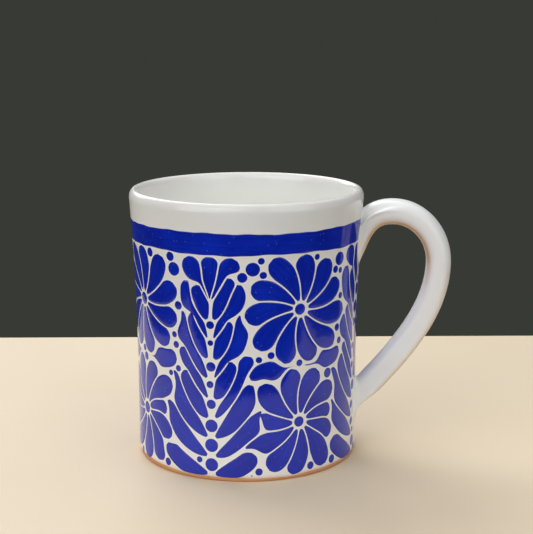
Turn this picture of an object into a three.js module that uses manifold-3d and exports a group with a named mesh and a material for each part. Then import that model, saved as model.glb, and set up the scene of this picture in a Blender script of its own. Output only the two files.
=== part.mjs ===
// Coffee mug of tin-glazed earthenware: a thrown clay cup, a pulled strap handle luted on with slip
// at its two roots, one coat of cream glaze over cup and handle, and a cobalt band painted round the
// cup below the lip. Millimetres, +Z up. The origin is the centre of the flat base, and the handle
// stands out along +X.
import * as THREE from "three";
import { mergeVertices } from "three/addons/utils/BufferGeometryUtils.js";
import Module from "manifold-3d";

const wasm = await Module();
wasm.setup();

// Cup, measured over the glaze
const MUG_HEIGHT = 97;
const BODY_RADIUS = 39.85; // straight lower wall
const RIM_RADIUS = 42.1; // widest, just under the lip
const FLARE_START = 25; // height where the wall begins to open towards the rim
const FLARE_POWER = 2.3; // how late the wall opens
const LIP_HEIGHT = 3; // rounded edge above the widest point
const WALL_AT_LIP = 3.4;
const WALL_AT_FLOOR = 4.6;
const FLOOR_THICKNESS = 6;
const FLOOR_CORNER = 8; // radius between the floor and the wall, inside
const FOOT_BEVEL = 1; // bare clay edge round the base

// Coats
const GLAZE_THICKNESS = 0.4;
const GLAZE_EDGE = 1.6; // height above the table where the glaze stops
const PAINT_THICKNESS = 0.2;
const BAND_TOP_DROP = 9.8; // top of the cobalt band below the top of the lip
const BAND_WIDTH = 7.4;

// Handle, measured over the glaze
const HANDLE_THICKNESS = 8.9; // in the plane of the loop
const HANDLE_WIDTH = 13.5; // across the loop, from the upper root over the arch
const LOWER_ARM_WIDTH = 10.5; // across the loop, down the lower arm
const SECTION_POWER = 2.5; // 2 is an ellipse, more is squarer
const LOWER_ARM_POWER = 3.3; // the same down the lower arm
const LOWER_ARM_PINCH = 0.15; // how much narrower its inner side is than its middle, as a share
const TAPER_START = 0.4; // where one section begins to pass into the other, as a share of the strap
const TAPER_END = 0.75;
const FINGER_GAP = 24.8; // widest clear space between the cup and the handle
const ARCH_DROP = 3.7; // top of the arch below the top of the lip
const ARCH_OFFSET = 12.7; // from the wall out to the top of the arch
const OUTERMOST_DROP = 18.1; // outermost point below the middle of the arch
const UPPER_ROOT_DROP = 18; // middle of the upper root below the top of the lip
const UPPER_ROOT_SLOPE = 56.5; // degrees above level at which the strap leaves the wall
const UPPER_ROOT_ARM = 0.3; // how long the strap keeps that slope, as a share of the way to the arch
const ARCH_ARM = 0.5; // how long the arch runs level before its top, as a share of the same way
const LOWER_ROOT_HEIGHT = 19.9; // middle of the lower root above the table
const LOWER_ROOT_SLOPE = 50.5; // degrees below level at which the strap comes back to the wall
const ROOT_FLARE = 1; // extra width of the strap where it meets the wall
const FLARE_LENGTH = 12; // length of strap over which that extra width fades

// Slip joints
const SLIP_THICKNESS = 1.2;
const SLIP_SPREAD = 1.8; // how far the slip is smeared out beyond the strap
const SEAT_CLEARANCE = 0.3; // between the slip and what it joins

// Facets
const LATHE_SEGMENTS = 48;
const WALL_STEPS = 5; // from the glaze edge to the band
const BAND_STEPS = 2;
const RIM_STEPS = 2; // from the band to the lip
const LIP_STEPS = 6; // even, so that one point is the very top
const CORNER_STEPS = 4;
const SECTION_SIDES = 16;
const STRAP_RINGS = 28;

// Sizes that follow from those above
const LIP_START = MUG_HEIGHT - LIP_HEIGHT;
const BAND_TOP = MUG_HEIGHT - BAND_TOP_DROP;
const BAND_BOTTOM = BAND_TOP - BAND_WIDTH;
const CORNER_TOP = FLOOR_THICKNESS + FLOOR_CORNER;
const BURIED_LENGTH = HANDLE_THICKNESS; // strap drawn on past the wall's face, to be cut back to it

// Equal steps from one value to another, both ends included.
function spread(from, to, steps) {
  return Array.from({ length: steps + 1 }, (_, i) => from + ((to - from) * i) / steps);
}

// Outer radius over the glaze: straight below, then opening to the rim by a power of the height.
function outerRadius(z) {
  const share = THREE.MathUtils.clamp((z - FLARE_START) / (LIP_START - FLARE_START), 0, 1);
  return BODY_RADIUS + (RIM_RADIUS - BODY_RADIUS) * share ** FLARE_POWER;
}

// Inner radius over the glaze: the wall thins evenly from the floor to the lip.
function innerRadius(z) {
  const share = THREE.MathUtils.clamp((z - FLOOR_THICKNESS) / (LIP_START - FLOOR_THICKNESS), 0, 1);
  return outerRadius(z) - THREE.MathUtils.lerp(WALL_AT_FLOOR, WALL_AT_LIP, share);
}

// Heights of the points on the outer wall, so that coats lie facet on facet.
const bandHeights = spread(BAND_BOTTOM, BAND_TOP, BAND_STEPS);
const wallHeights = [
  ...spread(GLAZE_EDGE, BAND_BOTTOM, WALL_STEPS).slice(0, -1),
  ...bandHeights,
  ...spread(BAND_TOP, LIP_START, RIM_STEPS).slice(1),
];

// Outer wall from the glaze edge up to the lip, at a depth below the glazed surface.
function outerWall(depth, heights = wallHeights) {
  return heights.map((z) => new THREE.Vector2(outerRadius(z) - depth, z));
}

// Lip from outside to inside: half an ellipse, without its two ends.
function lip(depth) {
  const middle = (outerRadius(LIP_START) + innerRadius(LIP_START)) / 2;
  const half = (outerRadius(LIP_START) - innerRadius(LIP_START)) / 2 - depth;
  const rise = LIP_HEIGHT - depth;
  return spread(0, Math.PI, LIP_STEPS)
    .slice(1, -1)
    .map((a) => new THREE.Vector2(middle + half * Math.cos(a), LIP_START + rise * Math.sin(a)));
}

// Inside from the lip down the wall, round the corner and along the floor to the axis.
function inside(depth) {
  const heights = spread(LIP_START, CORNER_TOP, WALL_STEPS);
  const wall = heights.map((z) => new THREE.Vector2(innerRadius(z) + depth, z));
  const centre = innerRadius(CORNER_TOP) - FLOOR_CORNER;
  const radius = FLOOR_CORNER + depth;
  const corner = spread(0, Math.PI / 2, CORNER_STEPS)
    .slice(1)
    .map((a) => new THREE.Vector2(centre + radius * Math.cos(a), CORNER_TOP - radius * Math.sin(a)));
  return [...wall, ...corner, new THREE.Vector2(0, FLOOR_THICKNESS - depth)];
}

// Solid of revolution about +Z.
function turned(profile) {
  return new THREE.LatheGeometry(profile, LATHE_SEGMENTS).rotateX(Math.PI / 2);
}

// Clay cup: flat base, bevelled foot, wall, lip and inside, one glaze thickness below the glazed surface.
function clayCupProfile() {
  const footRadius = outerRadius(0) - GLAZE_THICKNESS;
  return [
    new THREE.Vector2(0, 0),
    new THREE.Vector2(footRadius - FOOT_BEVEL, 0),
    new THREE.Vector2(footRadius, FOOT_BEVEL),
    ...outerWall(GLAZE_THICKNESS),
    ...lip(GLAZE_THICKNESS),
    ...inside(GLAZE_THICKNESS),
  ];
}

// Glaze coat: along the clay from the axis out to the glaze edge, then back along the glazed surface.
// Its lower edge thins to nothing over one glaze thickness.
function cupGlazeProfile() {
  const onClay = [...outerWall(GLAZE_THICKNESS), ...lip(GLAZE_THICKNESS), ...inside(GLAZE_THICKNESS)];
  const edgeHeight = GLAZE_EDGE + GLAZE_THICKNESS;
  const edge = new THREE.Vector2(outerRadius(edgeHeight), edgeHeight);
  return [...onClay.reverse(), edge, ...outerWall(0).slice(1), ...lip(0), ...inside(0)];
}

// Ring standing on the outer wall between two depths. Negative depths stand proud of the glaze.
function wallRing(innerDepth, outerDepth, heights) {
  const outer = outerWall(outerDepth, heights);
  return [...outer, ...outerWall(innerDepth, heights).reverse(), outer[0].clone()];
}

// Point on the glazed wall, in the plane of the handle.
function onWall(z) {
  return new THREE.Vector3(outerRadius(z), 0, z);
}

// Unit vector away from the cup at a slope above level.
function slopeDirection(degrees) {
  const a = THREE.MathUtils.degToRad(degrees);
  return new THREE.Vector3(Math.cos(a), 0, Math.sin(a));
}

const upperRoot = onWall(MUG_HEIGHT - UPPER_ROOT_DROP);
const lowerRoot = onWall(LOWER_ROOT_HEIGHT);
const upperWay = slopeDirection(UPPER_ROOT_SLOPE);
const lowerWay = slopeDirection(LOWER_ROOT_SLOPE);

// Line along the middle of the strap, in the XZ plane: out of the wall at the upper root, over the arch,
// down past the outermost point and into the wall at the lower root.
function strapLine() {
  const quarter = 0.5523; // control arm of a quarter ellipse, as a share of its radius
  const archTop = new THREE.Vector3(
    BODY_RADIUS + ARCH_OFFSET,
    0,
    MUG_HEIGHT - ARCH_DROP - HANDLE_THICKNESS / 2,
  );
  const outermost = new THREE.Vector3(
    BODY_RADIUS + FINGER_GAP + HANDLE_THICKNESS / 2,
    0,
    archTop.z - OUTERMOST_DROP,
  );
  const start = upperRoot.clone().addScaledVector(upperWay, -BURIED_LENGTH);
  const end = lowerRoot.clone().addScaledVector(lowerWay, -BURIED_LENGTH);
  const rise = start.distanceTo(archTop);
  const fall = outermost.distanceTo(end);
  const line = new THREE.CurvePath();
  line.add(
    new THREE.CubicBezierCurve3(
      start,
      start.clone().addScaledVector(upperWay, rise * UPPER_ROOT_ARM),
      archTop.clone().setX(archTop.x - rise * ARCH_ARM),
      archTop,
    ),
  );
  line.add(
    new THREE.CubicBezierCurve3(
      archTop,
      archTop.clone().setX(THREE.MathUtils.lerp(archTop.x, outermost.x, quarter)),
      outermost.clone().setZ(THREE.MathUtils.lerp(outermost.z, archTop.z, quarter)),
      outermost,
    ),
  );
  line.add(
    new THREE.CubicBezierCurve3(
      outermost,
      outermost.clone().setZ(outermost.z - fall / 3),
      end.clone().addScaledVector(lowerWay, fall / 3),
      end,
    ),
  );
  return line;
}

// Strap along that line: rings of a rounded oblong section that grows slimmer and squarer down the lower arm
// and widens a little at both roots. grow moves its surface out all round, and overrun lengthens it past both ends.
function strap(grow, overrun = 0) {
  const line = strapLine();
  const length = line.getLength();
  const stations = spread(0, 1, STRAP_RINGS).map((u) => ({
    point: line.getPointAt(u),
    way: line.getTangentAt(u),
    toWall: Math.min(u, 1 - u) * length - BURIED_LENGTH,
    taper: THREE.MathUtils.smoothstep(u, TAPER_START, TAPER_END),
  }));
  stations[0].point.addScaledVector(stations[0].way, -overrun);
  stations.at(-1).point.addScaledVector(stations.at(-1).way, overrun);
  const rings = stations.map(({ point, way, toWall, taper }) => {
    const flare = ROOT_FLARE * THREE.MathUtils.clamp(1 - toWall / FLARE_LENGTH, 0, 1) ** 2;
    const width = THREE.MathUtils.lerp(HANDLE_WIDTH, LOWER_ARM_WIDTH, taper) + flare;
    const power = THREE.MathUtils.lerp(SECTION_POWER, LOWER_ARM_POWER, taper);
    const halfThickness = HANDLE_THICKNESS / 2 + grow;
    const out = new THREE.Vector3(-way.z, 0, way.x);
    return spread(0, 2 * Math.PI, SECTION_SIDES)
      .slice(0, -1)
      .map((a) => {
        const across = Math.sign(Math.cos(a)) * Math.abs(Math.cos(a)) ** (2 / power);
        const through = Math.sign(Math.sin(a)) * Math.abs(Math.sin(a)) ** (2 / power);
        const halfWidth = (width / 2) * (1 + LOWER_ARM_PINCH * taper * through) + grow;
        return point
          .clone()
          .addScaledVector(out, through * halfThickness)
          .add(new THREE.Vector3(0, across * halfWidth, 0));
      });
  });
  return loft(rings);
}

// Closed skin over a row of rings, with a flat fan at each end.
function loft(rings) {
  const sides = rings[0].length;
  const points = rings.flat();
  const faces = [];
  for (let r = 0; r + 1 < rings.length; r++) {
    for (let s = 0; s < sides; s++) {
      const a = r * sides + s;
      const b = r * sides + ((s + 1) % sides);
      faces.push(a, b, a + sides, b, b + sides, a + sides);
    }
  }
  const last = (rings.length - 1) * sides;
  for (let s = 1; s + 1 < sides; s++) {
    faces.push(0, s + 1, s, last, last + s, last + s + 1);
  }
  return new THREE.BufferGeometry().setFromPoints(points).setIndex(faces);
}

// Closed geometry to a manifold solid, and back.
function solid(geometry) {
  const bare = geometry.clone();
  bare.deleteAttribute("normal");
  bare.deleteAttribute("uv");
  const merged = mergeVertices(bare);
  return new wasm.Manifold(
    new wasm.Mesh({
      numProp: 3,
      vertProperties: merged.getAttribute("position").array,
      triVerts: new Uint32Array(merged.index.array),
    }),
  );
}

function geometryOf(made) {
  const { vertProperties, triVerts } = made.getMesh();
  const geometry = new THREE.BufferGeometry()
    .setAttribute("position", new THREE.BufferAttribute(vertProperties, 3))
    .setIndex(new THREE.BufferAttribute(triVerts, 1));
  geometry.computeVertexNormals();
  return geometry;
}

// Everything within a distance outside the clay wall, without its hollow: what a root is cut back to.
function cupOut(distance) {
  const wall = outerWall(GLAZE_THICKNESS - distance, [0, ...wallHeights]);
  return solid(turned([new THREE.Vector2(0, 0), ...wall, new THREE.Vector2(0, LIP_START)]));
}

// Half space above or below the middle of the handle, as a block that covers the strap.
function rootBlock(upper) {
  const middle = (upperRoot.z + lowerRoot.z) / 2;
  const block = new THREE.BoxGeometry(RIM_RADIUS * 4, RIM_RADIUS * 4, MUG_HEIGHT * 2);
  return solid(block.translate(0, 0, upper ? middle + MUG_HEIGHT : middle - MUG_HEIGHT));
}

// Slip joint: the strap's footprint on the wall, smeared wider, as a pad that follows the wall.
function slipJoint(upper) {
  const near = cupOut(SEAT_CLEARANCE);
  const far = cupOut(SEAT_CLEARANCE + SLIP_THICKNESS);
  return solid(strap(SLIP_SPREAD)).intersect(rootBlock(upper)).intersect(far).subtract(near);
}

const rootCutter = solid(strap(SLIP_SPREAD + SEAT_CLEARANCE)).subtract(cupOut(-WALL_AT_LIP / 2));
const handleSeat = cupOut(SLIP_THICKNESS + 2 * SEAT_CLEARANCE);
const coreOverrun = HANDLE_THICKNESS; // the core passes right through its coat before the wall cuts both

const clayCup = turned(clayCupProfile());
const cupGlaze = geometryOf(solid(turned(cupGlazeProfile())).subtract(rootCutter));
const bandRing = turned(wallRing(0, -PAINT_THICKNESS, bandHeights));
const cobaltBand = geometryOf(solid(bandRing).subtract(rootCutter));
const handleCore = solid(strap(-GLAZE_THICKNESS, coreOverrun));
const handle = geometryOf(handleCore.subtract(handleSeat));
const handleGlaze = geometryOf(solid(strap(0)).subtract(handleCore).subtract(handleSeat));
const upperSlip = geometryOf(slipJoint(true));
const lowerSlip = geometryOf(slipJoint(false));

const clay = new THREE.MeshStandardMaterial({ color: 0xb9693c, roughness: 0.85, metalness: 0 });
const slip = new THREE.MeshStandardMaterial({ color: 0xc07a4c, roughness: 0.9, metalness: 0 });
const tinGlaze = new THREE.MeshStandardMaterial({ color: 0xdcd8cf, roughness: 0.15, metalness: 0 });
const cobalt = new THREE.MeshStandardMaterial({ color: 0x1226a0, roughness: 0.15, metalness: 0 });

const mug = new THREE.Group();
for (const [name, geometry, material] of [
  ["clay_cup", clayCup, clay],
  ["cup_glaze", cupGlaze, tinGlaze],
  ["cobalt_band", cobaltBand, cobalt],
  ["handle", handle, clay],
  ["handle_glaze", handleGlaze, tinGlaze],
  ["upper_slip_joint", upperSlip, slip],
  ["lower_slip_joint", lowerSlip, slip],
]) {
  const mesh = new THREE.Mesh(geometry, material);
  mesh.name = name;
  mug.add(mesh);
}

export default mug;
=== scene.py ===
"""Coffee mug of tin-glazed earthenware with cobalt foliage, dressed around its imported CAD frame.

Shapes are worked out in millimetres and stored in metres, with +Z up and the handle along +X.
"""

import bpy
import numpy as np
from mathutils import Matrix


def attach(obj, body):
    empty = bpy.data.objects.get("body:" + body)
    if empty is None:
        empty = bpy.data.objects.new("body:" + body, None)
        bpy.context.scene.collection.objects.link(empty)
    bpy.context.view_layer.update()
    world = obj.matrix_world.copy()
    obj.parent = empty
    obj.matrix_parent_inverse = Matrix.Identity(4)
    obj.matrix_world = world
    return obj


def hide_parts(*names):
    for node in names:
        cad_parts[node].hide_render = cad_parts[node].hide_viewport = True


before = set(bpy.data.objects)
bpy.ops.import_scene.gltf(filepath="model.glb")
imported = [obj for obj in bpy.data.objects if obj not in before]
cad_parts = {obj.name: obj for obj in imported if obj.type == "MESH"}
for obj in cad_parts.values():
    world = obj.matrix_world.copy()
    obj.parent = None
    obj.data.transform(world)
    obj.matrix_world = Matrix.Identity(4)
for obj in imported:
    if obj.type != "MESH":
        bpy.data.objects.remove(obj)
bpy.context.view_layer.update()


# Clay cup
# Red earthenware thrown on the wheel in one piece, cut from the wheel head with a wire and left bare
# under the foot. Only its bevelled foot and its underside show below the glaze.

MILLIMETRE = 0.001
TURN = 2 * np.pi

MUG_HEIGHT = 97.0
BODY_RADIUS = 39.85
RIM_RADIUS = 42.1
FLARE_START = 25.0
FLARE_POWER = 2.3
LIP_HEIGHT = 3.0
LIP_START = MUG_HEIGHT - LIP_HEIGHT
LIP_STEPS = 24
WALL_AT_LIP = 3.4
WALL_AT_FLOOR = 4.6
FLOOR_THICKNESS = 6.0
FLOOR_CORNER = 8.0
FLOOR_MIDDLE = 1.5
FLOOR_STEPS = 14
GLAZE_THICKNESS = 0.4
FOOT_BEVEL = 1.0
BEVEL_STEPS = 6
BASE_MIDDLE = 1.0
BASE_RINGS = 60
CLAY_COLUMNS = 192
CLAY_WALL_START = FOOT_BEVEL + 0.4
CLAY_WALL_STEPS = 12
WIRE_MARK_DEPTH = 0.12
WIRE_MARK_PITCH = 2.6
WIRE_MARK_FADE = 4.0
WIRE_CENTRE = (70.0, -30.0)
CLAY_CLOUD = 9.0
CLAY_GRIT = 0.7
GRIT_RELIEF = 0.2
CLAY_COLOURS = ("#c4834f", "#d7a070")
GRIT_COLOUR = "#a0653c"

# The sockets of Blender's colour mix share their names, so they go by number.
FACTOR, FIRST, SECOND = 0, 6, 7
MIXED = 2


def outer_radius(z):
    """Radius over the glaze: straight below, then opening to the rim by a power of the height."""
    share = np.clip((z - FLARE_START) / (LIP_START - FLARE_START), 0, 1)
    return BODY_RADIUS + (RIM_RADIUS - BODY_RADIUS) * share**FLARE_POWER


def inner_radius(z):
    """Radius inside over the glaze: the wall thins evenly from the floor to the lip."""
    share = np.clip((z - FLOOR_THICKNESS) / (LIP_START - FLOOR_THICKNESS), 0, 1)
    return outer_radius(z) - WALL_AT_FLOOR - (WALL_AT_LIP - WALL_AT_FLOOR) * share


def cup_line(depth, bottom, steps):
    """Radius and height along the cup's section, a depth below the glazed surface: up the wall from a
    bottom height, over the lip as half an ellipse, down inside, round the corner and in to the floor."""
    wall_z = np.linspace(bottom, LIP_START, steps)
    wall = np.stack([outer_radius(wall_z) - depth, wall_z], axis=1)
    over = np.linspace(0, np.pi, LIP_STEPS)[1:-1]
    middle = (outer_radius(LIP_START) + inner_radius(LIP_START)) / 2
    half = (outer_radius(LIP_START) - inner_radius(LIP_START)) / 2 - depth
    lip_z = LIP_START + (LIP_HEIGHT - depth) * np.sin(over)
    lip = np.stack([middle + half * np.cos(over), lip_z], axis=1)
    corner_top = FLOOR_THICKNESS + FLOOR_CORNER
    inside_z = np.linspace(LIP_START, corner_top, steps)
    inside = np.stack([inner_radius(inside_z) + depth, inside_z], axis=1)
    into = np.linspace(0, np.pi / 2, FLOOR_STEPS)[1:]
    reach = FLOOR_CORNER + depth
    centre = inner_radius(corner_top) - FLOOR_CORNER
    corner = np.stack([centre + reach * np.cos(into), corner_top - reach * np.sin(into)], axis=1)
    floor_r = np.linspace(centre, FLOOR_MIDDLE, FLOOR_STEPS)[1:]
    floor = np.stack([floor_r, np.full_like(floor_r, FLOOR_THICKNESS - depth)], axis=1)
    return np.concatenate([wall, lip, inside, corner, floor])


def angles_round(columns):
    """Even angles once round an axis."""
    return np.arange(columns) * TURN / columns


def around(r, angle, z):
    """Points at a radius, at an angle round the cup's axis and at a height."""
    return np.stack(np.broadcast_arrays(r * np.cos(angle), r * np.sin(angle), z), axis=-1)


def mesh_piece(name, points, faces):
    """Smooth-shaded object at the origin from points in millimetres."""
    mesh = bpy.data.meshes.new(name)
    mesh.from_pydata((points * MILLIMETRE).tolist(), [], faces)
    mesh.shade_smooth()
    piece = bpy.data.objects.new(name, mesh)
    bpy.context.collection.objects.link(piece)
    return piece


def skin(name, grid, first_pole=None, last_pole=None, closed=False):
    """Mesh over a grid of points in millimetres whose columns run round and meet. A pole closes the first
    or the last row with a fan of triangles, and closed joins the last row to the first."""
    rows, columns = grid.shape[:2]
    index = np.arange(rows * columns).reshape(rows, columns)
    ring = np.vstack([index, index[:1]]) if closed else index
    ahead = np.roll(ring, -1, axis=1)
    quads = np.stack([ring[:-1], ahead[:-1], ahead[1:], ring[1:]], axis=-1).reshape(-1, 4)
    points = [grid.reshape(-1, 3)]
    faces = quads.tolist()
    for pole, row, order in ((first_pole, 0, (0, 2, 1)), (last_pole, -1, (0, 1, 2))):
        if pole is not None:
            tip = np.full(columns, sum(map(len, points)))
            fan = np.stack([tip, index[row], np.roll(index[row], -1)], axis=1)[:, order]
            faces += fan.tolist()
            points.append(np.array([pole], float))
    return mesh_piece(name, np.concatenate(points), faces)


def linear(code):
    """Linear colour of an sRGB hex code: the standard curve, straight near black and then a power."""
    value = np.array([int(code[i : i + 2], 16) for i in (1, 3, 5)]) / 255
    value = np.where(value <= 0.04045, value / 12.92, ((value + 0.055) / 1.055) ** 2.4)
    return (*value.tolist(), 1.0)


def add(tree, kind, sockets=None, **settings):
    """Adds a node, sets its settings, and fills its sockets with values or with links from others."""
    node = tree.nodes.new(kind)
    for key, value in settings.items():
        setattr(node, key, value)
    for socket, value in (sockets or {}).items():
        if isinstance(value, bpy.types.NodeSocket):
            tree.links.new(value, node.inputs[socket])
        else:
            node.inputs[socket].default_value = value
    return node


def material(name):
    """New node material with a plain Principled surface. Returns the material, its tree and that shader."""
    made = bpy.data.materials.new(name)
    made.use_nodes = True
    return made, made.node_tree, made.node_tree.nodes["Principled BSDF"]


def per_mm(size):
    """Texture scale that gives features of a size in millimetres on coordinates in metres."""
    return 1 / (size * MILLIMETRE)


# Fired earthenware, bare: matt orange-brown with fine darker grit, paler where the surface was wiped.
terracotta, tree, shader = material("fired_earthenware_bare")
place = add(tree, "ShaderNodeTexCoord").outputs["Object"]
cloud = add(tree, "ShaderNodeTexNoise", {"Vector": place, "Scale": per_mm(CLAY_CLOUD), "Detail": 4.0})
grit = add(tree, "ShaderNodeTexNoise", {"Vector": place, "Scale": per_mm(CLAY_GRIT), "Detail": 3.0})
tone = add(
    tree,
    "ShaderNodeMix",
    {FACTOR: cloud.outputs[0], FIRST: linear(CLAY_COLOURS[0]), SECOND: linear(CLAY_COLOURS[1])},
    data_type="RGBA",
)
dark = add(
    tree,
    "ShaderNodeMapRange",
    {"Value": grit.outputs[0], "From Min": 0.58, "From Max": 0.72, "To Min": 0.0, "To Max": 0.55},
)
grain = add(
    tree,
    "ShaderNodeMix",
    {FACTOR: dark.outputs[0], FIRST: tone.outputs[MIXED], SECOND: linear(GRIT_COLOUR)},
    data_type="RGBA",
)
bump = add(
    tree,
    "ShaderNodeBump",
    {"Strength": 0.35, "Distance": GRIT_RELIEF * MILLIMETRE, "Height": grit.outputs[0]},
)
tree.links.new(grain.outputs[MIXED], shader.inputs["Base Color"])
tree.links.new(bump.outputs[0], shader.inputs["Normal"])
shader.inputs["Roughness"].default_value = 0.85
shader.inputs["IOR"].default_value = 1.5

# The underside is a disc of rings whose heights follow the wire: circles about a point off to one side.
clay_angle = angles_round(CLAY_COLUMNS)
foot_radius = outer_radius(0.0) - GLAZE_THICKNESS
base_radius = foot_radius - FOOT_BEVEL
base_rings = np.linspace(BASE_MIDDLE, base_radius, BASE_RINGS)[:, None]
underside = around(base_rings, clay_angle, 0.0)
from_wire = np.hypot(underside[..., 0] - WIRE_CENTRE[0], underside[..., 1] - WIRE_CENTRE[1])
mark = 0.5 - 0.5 * np.cos(TURN * from_wire / WIRE_MARK_PITCH)
underside[..., 2] = WIRE_MARK_DEPTH * mark * np.clip((base_radius - base_rings) / WIRE_MARK_FADE, 0, 1)
bevel_turn = np.linspace(0, np.pi / 2, BEVEL_STEPS)[1:]
bevel_r = base_radius + FOOT_BEVEL * np.sin(bevel_turn)
bevel_z = FOOT_BEVEL - FOOT_BEVEL * np.cos(bevel_turn)
bevel_line = np.stack([bevel_r, bevel_z], axis=1)
clay_line = np.concatenate([bevel_line, cup_line(GLAZE_THICKNESS, CLAY_WALL_START, CLAY_WALL_STEPS)])
clay_wall = around(clay_line[:, :1], clay_angle, clay_line[:, 1:])
clay_cup = skin(
    "clay_cup",
    np.concatenate([underside, clay_wall]),
    first_pole=(0, 0, WIRE_MARK_DEPTH / 2),
    last_pole=(0, 0, FLOOR_THICKNESS - GLAZE_THICKNESS),
)
clay_cup.data.materials.append(terracotta)
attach(clay_cup, "root")
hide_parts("clay_cup")


# Cup glaze
# One coat of cream tin glaze poured inside and dipped outside, over the lip and down to a wiped edge just
# above the foot. It is glossy and opaque, a little uneven, and thin and warm along the lip.

GLAZE_EDGE = 1.5
EDGE_WAVES = ((0.22, 2, 1.0), (0.16, 7, 0.4), (0.08, 19, 0.0))
EDGE_REACH = 2.5
EDGE_BURY = 0.3
EDGE_DROP = 0.1
BEAD_HEIGHT = 1.449
BEAD_POWER = 1.5
BEAD_STEPS = 7
GLAZE_COLUMNS = 288
GLAZE_WALL_STEPS = 60
WAVE_RADIUS = 40.0
STEADY_FOOT = 4.0
WAVES_GROW = 8.0
LIP_THIN = 0.15
LIP_THIN_SPREAD = 1.2
EDGE_THIN = 0.5
EDGE_THIN_SPREAD = 0.8
POOL_FADE = 6.0
GLAZE_CLOUD = 22.0
GLAZE_SPECKS_APART = 13.0
GLAZE_PITS_APART = 4.5
GLAZE_PEEL = 5.0
PEEL_RELIEF = 0.3
POOLED_COLOUR = "#eeeee6"
PIT_COLOUR = "#c9c0ac"
SPECK_COLOUR = "#5c4a3a"
CUP_CREAMS = ("#e3e0da", "#efede8")
CUP_THIN_COLOUR = "#cdb594"
CUP_GLOSS = (0.15, 0.22)


def uneven(angle, z):
    """Share by which the hand-thrown wall is wider: three slow waves of angle and height in millimetres,
    over the radius, that grow from nothing above the steady foot."""
    waves = (
        0.045 * np.sin(3 * angle + 0.11 * z + 0.6)
        + 0.035 * np.sin(5 * angle - 0.07 * z + 2.1)
        + 0.030 * np.sin(0.33 * z + 2 * np.sin(angle))
    )
    return waves / WAVE_RADIUS * np.clip((z - STEADY_FOOT) / WAVES_GROW, 0, 1)


def wavering(angle, waves):
    """Rise and fall of an edge wiped or brushed by hand: the sum of waves round the cup, each given by its
    height in millimetres, its number of crests and its phase."""
    return sum(size * np.sin(crests * angle + phase) for size, crests, phase in waves)


def bell(distance, spread):
    """Bell curve that is 1 at no distance and falls off by the square of the distance in spreads."""
    return np.exp(-((distance / spread) ** 2))


def set_attribute(piece, name, values):
    """Stores one float or vector for every vertex."""
    kind, key = ("FLOAT", "value") if values.ndim == 1 else ("FLOAT_VECTOR", "vector")
    layer = piece.data.attributes.new(name, kind, "POINT")
    layer.data.foreach_set(key, values.astype(np.float32).ravel())


# Tin glaze: cream, glossy and opaque, clouded where it ran thicker, warmer where the clay shows through a
# thin coat, with pinholes and a rare iron speck. On the handle the same warm colour is also a painted warm
# reflection of the bench on faces turned down.
def tin_glaze(name, creams, thin_and_reflection_colour, gloss):
    """Material of the cream coat, between two creams and two roughnesses. The attribute thin_and_reflection
    is
    0 on an even coat and 1 where it is thinnest, and on the handle it also carries a painted warm reflection
    of the bench; the attribute pooled is 1 inside the cup, where it was poured thick."""
    made, tree, shader = material(name)
    place = add(tree, "ShaderNodeTexCoord").outputs["Object"]
    cloud = add(tree, "ShaderNodeTexNoise", {"Vector": place, "Scale": per_mm(GLAZE_CLOUD), "Detail": 3.0})
    cream = add(
        tree,
        "ShaderNodeMix",
        {FACTOR: cloud.outputs[0], FIRST: linear(creams[0]), SECOND: linear(creams[1])},
        data_type="RGBA",
    )
    pooled = add(tree, "ShaderNodeAttribute", attribute_name="pooled")
    poured = add(
        tree,
        "ShaderNodeMix",
        {FACTOR: pooled.outputs["Fac"], FIRST: cream.outputs[MIXED], SECOND: linear(POOLED_COLOUR)},
        data_type="RGBA",
    )
    # Warm colour of a thin coat, and on the handle also a painted warm reflection of the bench on faces
    # turned down.
    thin_and_reflection = add(tree, "ShaderNodeAttribute", attribute_name="thin_and_reflection")
    warm = add(
        tree,
        "ShaderNodeMix",
        {FACTOR: thin_and_reflection.outputs["Fac"], FIRST: poured.outputs[MIXED], SECOND: linear(thin_and_reflection_colour)},
        data_type="RGBA",
    )
    pits = add(tree, "ShaderNodeTexVoronoi", {"Vector": place, "Scale": per_mm(GLAZE_PITS_APART)})
    pit = add(
        tree,
        "ShaderNodeMapRange",
        {
            "Value": pits.outputs["Distance"],
            "From Min": 0.03,
            "From Max": 0.06,
            "To Min": 0.3,
            "To Max": 0.0,
        },
    )
    pitted = add(
        tree,
        "ShaderNodeMix",
        {FACTOR: pit.outputs[0], FIRST: warm.outputs[MIXED], SECOND: linear(PIT_COLOUR)},
        data_type="RGBA",
    )
    specks = add(tree, "ShaderNodeTexVoronoi", {"Vector": place, "Scale": per_mm(GLAZE_SPECKS_APART)})
    speck = add(
        tree,
        "ShaderNodeMapRange",
        {
            "Value": specks.outputs["Distance"],
            "From Min": 0.018,
            "From Max": 0.032,
            "To Min": 0.75,
            "To Max": 0.0,
        },
    )
    spotted = add(
        tree,
        "ShaderNodeMix",
        {FACTOR: speck.outputs[0], FIRST: pitted.outputs[MIXED], SECOND: linear(SPECK_COLOUR)},
        data_type="RGBA",
    )
    peel = add(tree, "ShaderNodeTexNoise", {"Vector": place, "Scale": per_mm(GLAZE_PEEL), "Detail": 2.0})
    bump = add(
        tree,
        "ShaderNodeBump",
        {"Strength": 0.12, "Distance": PEEL_RELIEF * MILLIMETRE, "Height": peel.outputs[0]},
    )
    dullness = add(
        tree,
        "ShaderNodeMapRange",
        {
            "Value": cloud.outputs[0],
            "From Min": 0.3,
            "From Max": 0.7,
            "To Min": gloss[0],
            "To Max": gloss[1],
        },
    )
    tree.links.new(spotted.outputs[MIXED], shader.inputs["Base Color"])
    tree.links.new(dullness.outputs[0], shader.inputs["Roughness"])
    tree.links.new(bump.outputs[0], shader.inputs["Normal"])
    shader.inputs["IOR"].default_value = 1.52
    return made


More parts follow.
